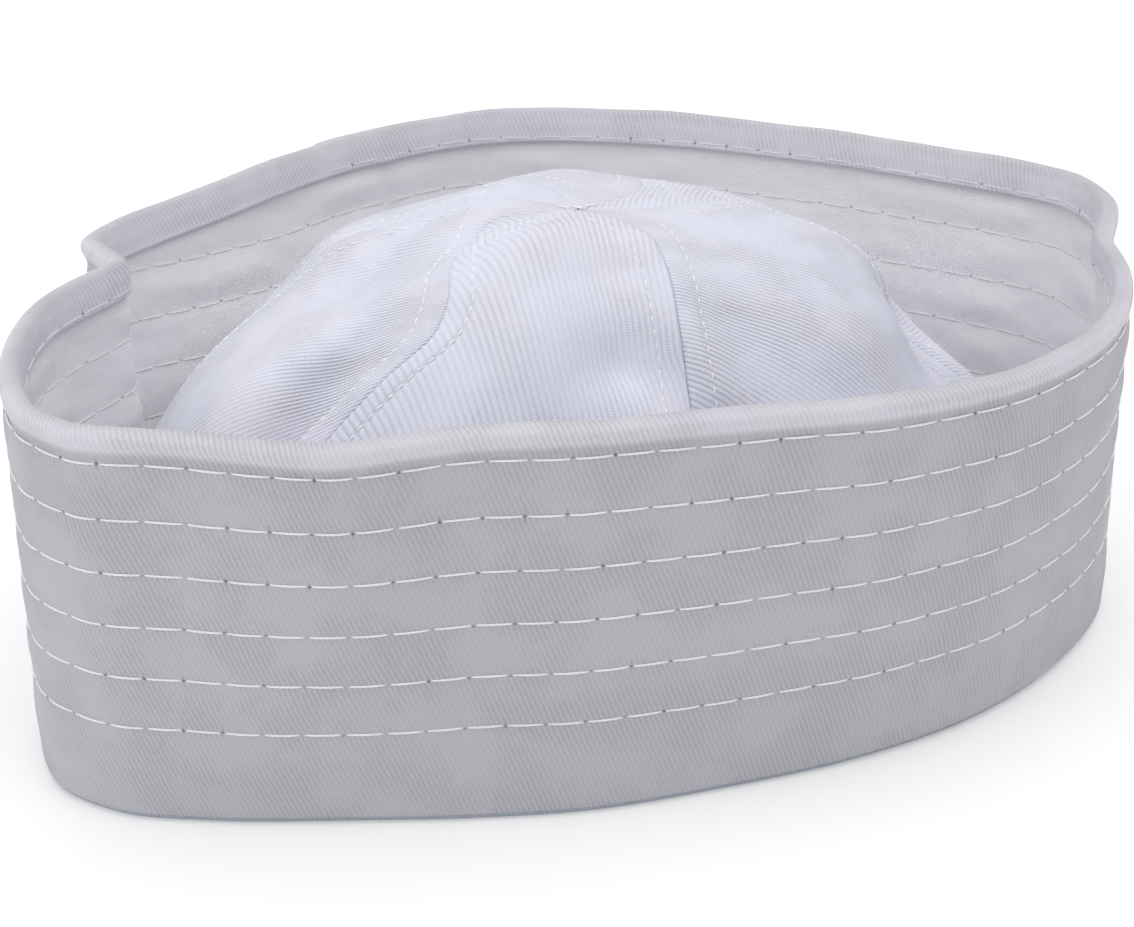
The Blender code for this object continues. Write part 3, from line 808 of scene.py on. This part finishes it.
# Stitches of the tack at the tip: middle along and across, length in millimetres, and way in degrees
ApexStitch = namedtuple("ApexStitch", "along across length way")
APEX_STITCHES = (
    ApexStitch(0.0, 0.0, 3.4, 20.0),
    ApexStitch(0.2, 0.1, 3.0, 100.0),
    ApexStitch(-0.1, 0.2, 3.2, 150.0),
    ApexStitch(-3.0, 0.4, 2.6, 165.0),
    ApexStitch(-2.2, -0.8, 2.4, 95.0),
    ApexStitch(1.6, 0.9, 2.2, 70.0),
    ApexStitch(2.6, 1.4, 2.0, 10.0),
)
APEX_THREAD = 0.00026


def crown_fullness():
    """Fullness of the dome at each ring point, eased by a cosine from one row of the table to the next."""
    rows = np.array(CROWN_PROFILES)
    turns = np.append(rows[:, 0], 1)
    values = np.append(rows[:, 1], rows[0, 1])
    place = np.arange(RING) / RING
    span = np.clip(np.searchsorted(turns, place, side="right") - 1, 0, len(rows) - 1)
    t = (place - turns[span]) / (turns[span + 1] - turns[span])
    return values[span] + (values[span + 1] - values[span]) * (1 - np.cos(np.pi * t)) / 2


def flat_place(climb, section):
    """Place in the dome's flat map, a complex number: the share of the climb that is left, turned about 0."""
    return (1 - climb) * np.exp(2j * np.pi * section / len(OUTLINE))


def folds_at(climb, section):
    """Height of the folds: each falls off by a bell curve of the distance to its line in the flat map."""
    spot = flat_place(climb, section)
    height = np.zeros(spot.shape)
    for fold in CROWN_FOLDS:
        start = flat_place(fold.climb, fold.section)
        run = flat_place(fold.climb_to, fold.section_to) - start
        share = np.clip(((spot - start) * np.conj(run)).real / abs(run) ** 2, 0, 1)
        away = np.abs(spot - start - share * run) / fold.width
        height += fold.height * FOLD_HEIGHT * np.exp(-(away**2))
    return height * np.clip((climb - FOLDS_FROM) / (FOLDS_FULL - FOLDS_FROM), 0, 1)


def crown_sheet():
    """Outer face of the whole crown: at each ring point a superellipse from the foot to the apex.

    Rows climb by equal angles. The foot's creases fade out on the way up, the dents push the face towards
    the apex's axis, and the folds lift it along its own normals.
    """
    apex = np.array([APEX_ALONG * FOOT_LENGTH / 2, APEX_ACROSS * FOOT_WIDTH / 2]) + CENTRE
    foot = FOOT - FOOT_OUT * CROWN_OUTER
    power = 2 / crown_fullness()
    reach = np.linalg.norm(foot - apex, axis=1)
    last = np.arccos((TIP_RADIUS / reach) ** (1 / power))
    angle = np.linspace(0, 1, CROWN_ROWS)[:, None] * last
    inward = np.cos(angle) ** power
    rise = np.sin(angle) ** power
    turn = np.arange(RING) / RING
    push = np.zeros_like(inward)
    for dent in CROWN_DENTS:
        around = (turn - dent.turn + 0.5) % 1 - 0.5
        shape = np.exp(-((around / dent.turn_spread) ** 2) - ((rise - dent.height) / dent.height_spread) ** 2)
        push += dent.depth * DENT_DEPTH * shape
    inward = inward * (1 - push / reach)
    fade = np.minimum(rise / CREASE_FADE, 1)[..., None]
    soft_foot = foot + (evened(foot, SPAN_STEPS * 0.61) - foot) * fade
    plan = apex + (soft_foot - apex) * inward[..., None]
    height = BRIM_FOOT + (CROWN_HEIGHT - BRIM_FOOT) * rise
    sheet = np.concatenate([plan, height[..., None]], axis=2)
    climb = np.linspace(0, 1, CROWN_ROWS)[:, None]
    return sheet + sheet_normals(sheet) * folds_at(climb, turn * len(OUTLINE))[..., None]


def sheet_normals(sheet):
    """Outward directions of a sheet closed round its columns, level at the foot."""
    around = np.roll(sheet, -2, axis=1) - np.roll(sheet, 2, axis=1)
    normal = np.cross(around, np.gradient(sheet, axis=0))
    normal = normal / np.linalg.norm(normal, axis=2)[..., None]
    normal[0, :, 2] = 0
    return normal / np.linalg.norm(normal, axis=2)[..., None]


def between_columns(rows, place):
    """Values of the rows at fractional column places round the ring, one list of places to a row."""
    first = np.floor(place).astype(int)
    share = (place - first)[..., None]
    row = np.arange(len(rows))[:, None]
    return rows[row, first % RING] * (1 - share) + rows[row, (first + 1) % RING] * share


def round_lengths(sheet):
    """Length round each row from its first column, over three rings, so that a gore may cross the join."""
    strides = np.tile(np.linalg.norm(np.roll(sheet, -1, axis=1) - sheet, axis=2), 3)
    return np.concatenate([np.zeros((len(sheet), 1)), np.cumsum(strides, axis=1)], axis=1)


def gore_faces(rows, columns):
    """Quads of an outer sheet, an inner sheet behind it, and the walls between their edges."""
    grid = np.arange(rows * columns).reshape(rows, columns)
    half = rows * columns
    outer = np.stack([grid[:-1, :-1], grid[:-1, 1:], grid[1:, 1:], grid[1:, :-1]], axis=-1).reshape(-1, 4)
    edge = np.concatenate([grid[0], grid[1:, -1], grid[-1, -2::-1], grid[-2:0:-1, 0]])
    after = np.roll(edge, -1)
    walls = np.stack([edge, edge + half, after + half, after], axis=1)
    return np.concatenate([outer, outer[:, ::-1] + half, walls])


def seam_places(seam):
    """Section of a seam at each row: as at the foot up to a climb of 0.2, then a curve through its row."""
    stray = np.column_stack([np.linspace(200, 1000, 9), np.array(seam[1:]) * 1000])
    line = smooth_line(stray, 10)
    return seam.section + np.interp(np.linspace(0, 1, CROWN_ROWS), line[:, 0], line[:, 1])


def make_gore(gore, first, last, sheet, normals):
    """Gore between two seams, with the relief of its pressed seams and of the cloth that swells between.

    From the seam inward: a thin groove at the seam, a flat raised strip over the seam allowance, a shallow
    line where the topstitching pulls it in, and then the gore's own swelling. The texture is the gore laid
    flat about the meridian in its middle at the foot: each row is an arc about the tip, its radius the
    length that is left to the tip.
    """
    share = np.linspace(0, 1, GORE_COLUMNS)
    share = share - 0.35 * np.sin(2 * np.pi * share) / (2 * np.pi)
    place = (first + (last - first) * share) * SPAN_STEPS
    face = between_columns(sheet, place)
    steps = np.linalg.norm(np.diff(face, axis=1), axis=2)
    length = np.concatenate([np.zeros((CROWN_ROWS, 1)), np.cumsum(steps, axis=1)], axis=1)
    width = length[:, -1:]
    gap = np.minimum(0.00003 / width, 0.2) * (last - first) * SPAN_STEPS
    place = place + gap * (1 - 2 * share)
    face = between_columns(sheet, place)
    normal = between_columns(normals, place)
    from_edge = np.minimum(length, width - length)
    strip = np.clip((TOPSTITCH_OFFSET - from_edge) / 0.0010 + 0.5, 0, 1)
    relief = 0.00025 * strip - 0.00026 * np.exp(-((from_edge / 0.0005) ** 2))
    relief = relief - 0.00018 * np.exp(-(((from_edge - TOPSTITCH_OFFSET) / 0.0006) ** 2))
    middle = np.sin(np.pi * length / width) ** 2
    relief = relief + 0.0010 * middle * np.clip(width / 0.04, 0, 1)
    up = np.linspace(0, 1, CROWN_ROWS)[:, None]
    relief = relief * np.clip(up / 0.05, 0, 1) * np.clip(width / 0.010, 0, 1)
    outer = face + normal * relief[..., None]
    inner = outer - normal * (TWILL + PRESSED_SEAM * (from_edge < SEAM_ALLOWANCE))[..., None]
    points = np.concatenate([outer.reshape(-1, 3), inner.reshape(-1, 3)])
    faces = gore_faces(CROWN_ROWS, GORE_COLUMNS)
    meridian = round((first[0, 0] + last[0, 0]) / 2 * SPAN_STEPS)
    climbs = np.linalg.norm(np.diff(sheet[:, meridian % RING], axis=0), axis=1)
    left = (climbs.sum() - np.concatenate([[0], np.cumsum(climbs)]))[:, None] + 0.001
    rounds = round_lengths(sheet)
    at = [np.interp(place[row] + RING, np.arange(3 * RING + 1), rounds[row]) for row in range(CROWN_ROWS)]
    turned = (np.array(at) - rounds[:, meridian + RING, None]) / left - np.radians(gore.rib_lean)
    uv = np.stack([left * np.sin(turned), -left * np.cos(turned)], axis=-1) * (CROWN_RIB / gore.rib)
    uv = uv.reshape(-1, 2)
    uv = np.concatenate([uv, uv])
    piece = cloth_piece(f"crown_twill_{gore.name}", points, faces, uv[faces])
    return piece, outer, normal, length, width


def crown_twill_material():
    """The crown's twill, brighter and bluer than the brim's, which is the same cloth painted darker as shade;
    its ribs already turned in each gore's map, their valleys painted darker as shade.
    """
    material, tree, shader, vector, x, y = cloth_material("white_crown_twill", TWILL_ROUGHNESS, CROWN_SHEEN)
    height, valley = twill_pattern(tree, vector, x, y, CROWN_RIB, 0.0)
    patches = eased(tree, noise(tree, vector, 40.0), 0.35, 0.68)
    # Painted shade: the valleys of the ribs are painted darker
    shade = times_plus(tree, valley, -0.20, 1.03)
    shade = times_plus(tree, noise(tree, vector, 25.0), 0.04, shade)
    colour = tinted(tree, CROWN_COLOUR, shade, CROWN_TINT, patches)
    show(tree, shader, colour, height, TWILL_BUMP, TWILL_RELIEF)
    return material


def topstitch_paths(outer, normal, length, width, steps=5):
    """Stitches of both topstitch lines of one gore, each line at its offset from the seam beside it."""
    found = []
    for offset in (TOPSTITCH_OFFSET + 0 * width, width - TOPSTITCH_OFFSET):
        wide = np.flatnonzero(width[:, 0] > 2.6 * TOPSTITCH_OFFSET)
        rows = np.arange(3, wide[-1])
        column = np.array([np.interp(offset[r, 0], length[r], np.arange(GORE_COLUMNS)) for r in rows])
        first = np.floor(column).astype(int)
        share = (column - first)[:, None]
        both = np.concatenate([outer, normal], axis=2)
        line = both[rows, first] * (1 - share) + both[rows, first + 1] * share
        run = np.concatenate([[0], np.cumsum(np.linalg.norm(np.diff(line[:, :3], axis=0), axis=1))])
        centres = np.arange(0.5, run[-1] / TOPSTITCH - 0.5) * TOPSTITCH
        spots = centres[:, None] + (stitch_steps(steps) * TOPSTITCH_SHOWN * TOPSTITCH)[None, :]
        found.append(np.stack([np.interp(spots, run, line[:, i]) for i in range(6)], axis=-1))
    return np.concatenate(found)


def make_apex_tack():
    """Hand stitches that close the tip where the six seams meet, one short line of thread to a row."""
    rows = np.array(APEX_STITCHES)
    tip = crown_face[-1].mean(axis=0)
    way = np.radians(rows[:, 3])[:, None]
    run = stitch_steps(7)[None, :] * rows[:, 2:3] / 1000
    along = rows[:, 0:1] / 1000 + run * np.cos(way)
    across = rows[:, 1:2] / 1000 + run * np.sin(way)
    spots = np.stack([tip[0] + along, tip[1] + across], axis=-1)
    top = crown_face[-30:, ::4].reshape(-1, 3)
    nearest = np.linalg.norm(spots[:, :, None] - top[:, :2], axis=-1).argmin(axis=-1)
    level = np.minimum(top[nearest, 2], tip[2]) + 0.0003
    paths = np.concatenate([spots, level[..., None]], axis=-1)
    upward = np.broadcast_to((0.0, 0.0, 1.0), paths.shape)
    return stitch_piece("apex_tack", paths, upward, APEX_THREAD)


crown_face = crown_sheet()
crown_normals = sheet_normals(crown_face)
crown_twill = crown_twill_material()
topstitches = []
places = [seam_places(seam)[:, None] for seam in SEAMS]
places.append(places[0] + len(OUTLINE))
for number, gore in enumerate(GORES, start=1):
    first, last = places[number - 1 : number + 1]
    piece, outer, normal, length, width = make_gore(gore, first, last, crown_face, crown_normals)
    piece.data.materials.append(crown_twill)
    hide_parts(f"crown_gore_{number}")
    topstitches.append(topstitch_paths(outer, normal, length, width))
topstitches = np.concatenate(topstitches)
spots, ways = topstitches[..., :3], topstitches[..., 3:]
crown_thread = stitch_piece("crown_thread", spots, ways, CROWN_THREAD)
crown_thread.data.materials.append(white_thread)
apex_tack = make_apex_tack()
apex_tack.data.materials.append(white_thread)


# Inside band. A strip of pale blue-grey cotton sewn round the crown's foot inside. Its lower edge is turned
# outward under the crown and the brim, and shows as a thin line below the brim's fold.

BAND = 0.0010
BAND_HEIGHT = 0.028
BAND_DEPTH = 0.0023
BAND_STEPS = 16
BAND_COLOUR = (0.52, 0.57, 0.65)


def make_band():
    """Strip that follows the crown's face at a depth below it, with its lower edge turned outward."""
    height = np.linspace(0, BAND_HEIGHT - BRIM_FOOT, BAND_STEPS + 1) + BRIM_FOOT
    sheet = crown_face - crown_normals * BAND_DEPTH
    column = np.arange(0, RING, 2)
    rows = np.arange(CROWN_ROWS)
    levels = np.stack([np.interp(height, sheet[:, c, 2], rows) for c in column], axis=1)
    first = np.floor(levels).astype(int).clip(0, CROWN_ROWS - 2)
    share = (levels - first)[..., None]
    outer = sheet[first, column] * (1 - share) + sheet[first + 1, column] * share
    normal = crown_normals[first, column]
    inner = outer - normal * BAND
    turn = column / RING
    edge = brim_point(turn, np.full(len(turn), TWILL), np.zeros(len(turn)))
    corner = outer[0] * (1, 1, 0) + (0, 0, BAND)
    rings = [edge, edge + (0, 0, BAND / 2), edge + (0, 0, BAND), corner]
    rings += list(outer[1:]) + list(inner[:0:-1]) + [inner[0] * (1, 1, 0)]
    grid = np.array(rings)
    steps = np.linalg.norm(np.diff(grid[:, 0], axis=0), axis=1)
    up = np.concatenate([[0], np.cumsum(steps)])
    up = np.append(up, up[-1] + 0.002)
    return tube_piece("inside_band", grid, ROUND[::2], up)


def band_material():
    """Close plain weave with fine upright lines."""
    material, tree, shader, vector, x, y = cloth_material("pale_band_cotton", 0.85, 0.03)
    lines = worked(tree, "SINE", times(tree, x, 2 * np.pi / 0.0008))
    cross = worked(tree, "SINE", times(tree, y, 2 * np.pi / 0.0006))
    weave = times_plus(tree, times(tree, lines, cross), 0.5, lines)
    shade = times_plus(tree, weave, 0.03, times_plus(tree, noise(tree, vector, 60.0), 0.08, 0.94))
    show(tree, shader, tinted(tree, BAND_COLOUR, shade), weave, 0.4, 0.0002)
    return material


inside_band = make_band()
inside_band.data.materials.append(band_material())
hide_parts("sweatband")


# Floor, light and camera. A plain white floor under one large soft light overhead, a weaker one from the
# left, and a pale surround. The camera stands in front, a little to the left, looking down at 28 degrees.

FLOOR_SIZE = 8.0
CAMERA_PLACE = (-0.00793, -0.41273, 0.25679)
CAMERA_TILT = 61.654
CAMERA_LENS = 70.72
FLOOR_DROP = 0.0002
FLOOR_COLOUR = (0.94, 0.94, 0.94, 1)
FLOOR_GLOW = 0.14
SURROUND_COLOUR = (0.98, 0.98, 1.0, 1)
SURROUND_STRENGTH = 0.32

# Square lights: where each stands and what it is turned to, its side, its power in watts and its colour
Softbox = namedtuple("Softbox", "name place aim side power colour")
SOFTBOXES = (
    Softbox("overhead_softbox", (0.1, -0.02, 1.3), (0.0, 0.0, 0.0), 2.4, 25.0, (1.0, 1.0, 1.0)),
    Softbox("left_softbox", (-1.5, -0.5, 0.6), (0.0, 0.0, 0.05), 0.9, 5.0, (1.0, 0.99, 1.0)),
)


def make_floor():
    """Square floor just under the cap, slightly self-lit so that it stays white."""
    half = FLOOR_SIZE / 2
    mesh = bpy.data.meshes.new("floor")
    corners = [(x * half, y * half, -FLOOR_DROP) for x, y in ((-1, -1), (1, -1), (1, 1), (-1, 1))]
    mesh.from_pydata(corners, [], [(0, 1, 2, 3)])
    floor = in_scene("floor", mesh)
    inputs = {"Base Color": FLOOR_COLOUR, "Emission Color": (1, 1, 1, 1), "Emission Strength": FLOOR_GLOW}
    mesh.materials.append(plain_material("white_floor", 0.9, 0.1, inputs)[0])


def add_softbox(softbox):
    """Square area light of a row, turned towards its aim."""
    light = bpy.data.lights.new(softbox.name, "AREA")
    light.size = softbox.side
    light.energy = softbox.power
    light.color = softbox.colour
    lamp = in_scene(softbox.name, light)
    lamp.location = softbox.place
    way = Vector(softbox.aim) - Vector(softbox.place)
    lamp.rotation_euler = way.to_track_quat("-Z", "Y").to_euler()


def add_camera():
    """Camera at the photo's place, in the solids' centred frame."""
    camera = bpy.data.cameras.new("camera")
    camera.lens = CAMERA_LENS
    camera.sensor_width = 36
    camera.clip_start = 0.01
    eye = in_scene("camera", camera)
    eye.location = (CAMERA_PLACE[0] + CENTRE[0], CAMERA_PLACE[1] + CENTRE[1], CAMERA_PLACE[2])
    eye.rotation_euler = (np.radians(CAMERA_TILT), 0, 0)
    bpy.context.scene.camera = eye


make_floor()
for softbox in SOFTBOXES:
    add_softbox(softbox)
world = bpy.data.worlds.new("surround")
world.use_nodes = True
background = world.node_tree.nodes["Background"]
background.inputs["Color"].default_value = SURROUND_COLOUR
background.inputs["Strength"].default_value = SURROUND_STRENGTH
bpy.context.scene.world = world
bpy.context.scene.view_settings.view_transform = "Standard"
add_camera()
